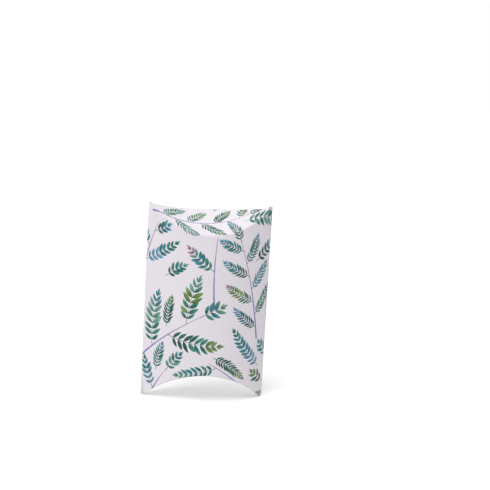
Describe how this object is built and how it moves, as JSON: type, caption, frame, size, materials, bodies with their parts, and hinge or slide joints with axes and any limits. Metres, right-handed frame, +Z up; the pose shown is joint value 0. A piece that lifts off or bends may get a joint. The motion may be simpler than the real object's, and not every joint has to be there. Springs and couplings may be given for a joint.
{
  "type": "pillow box",
  "caption": "Folded card gift box with a bowed sleeve, curved end creases and hinged end flaps with thumb notches.",
  "frame": {"origin": "on the surface the box stands on, midway between its side folds and between its two bowed panels", "axes": "+Z up along the box, +X to the right of the front panel, front panel facing -Y"},
  "size_m": [0.063, 0.0264, 0.0995],
  "materials": {
    "printed_card": "white card with a satin coated, leaf printed outside and a plain uncoated inside",
    "plain_card": "uncoated white card",
    "glue": "dried pale glue"
  },
  "bodies": {
    "sleeve": {"front_panel": "printed_card", "back_panel": "printed_card", "glue_tab": "plain_card", "glue_strip": "glue"},
    "top_outer": {"top_outer_flap": "printed_card"},
    "top_inner": {"top_inner_flap": "printed_card"},
    "bottom_outer": {"bottom_outer_flap": "printed_card"},
    "bottom_inner": {"bottom_inner_flap": "printed_card"}
  },
  "joints": [
    {"name": "top_outer_fold", "type": "hinge", "parent": "sleeve", "child": "top_outer", "pos_m": [0, -0.0132, 0.0857], "axis": [1, 0, 0], "range_deg": [0, 70]},
    {"name": "top_inner_fold", "type": "hinge", "parent": "sleeve", "child": "top_inner", "pos_m": [0, 0.0132, 0.0857], "axis": [-1, 0, 0], "range_deg": [0, 77.5]},
    {"name": "bottom_outer_fold", "type": "hinge", "parent": "sleeve", "child": "bottom_outer", "pos_m": [0, -0.0132, 0.0138], "axis": [-1, 0, 0], "range_deg": [0, 84]},
    {"name": "bottom_inner_fold", "type": "hinge", "parent": "sleeve", "child": "bottom_inner", "pos_m": [0, 0.0132, 0.0138], "axis": [1, 0, 0], "range_deg": [0, 42.5]}
  ],
  "couplings": [
    {"joint": "top_inner_fold", "follows": "top_outer_fold", "ratio": 1.1},
    {"joint": "bottom_inner_fold", "follows": "bottom_outer_fold", "ratio": 0.5}
  ]
}
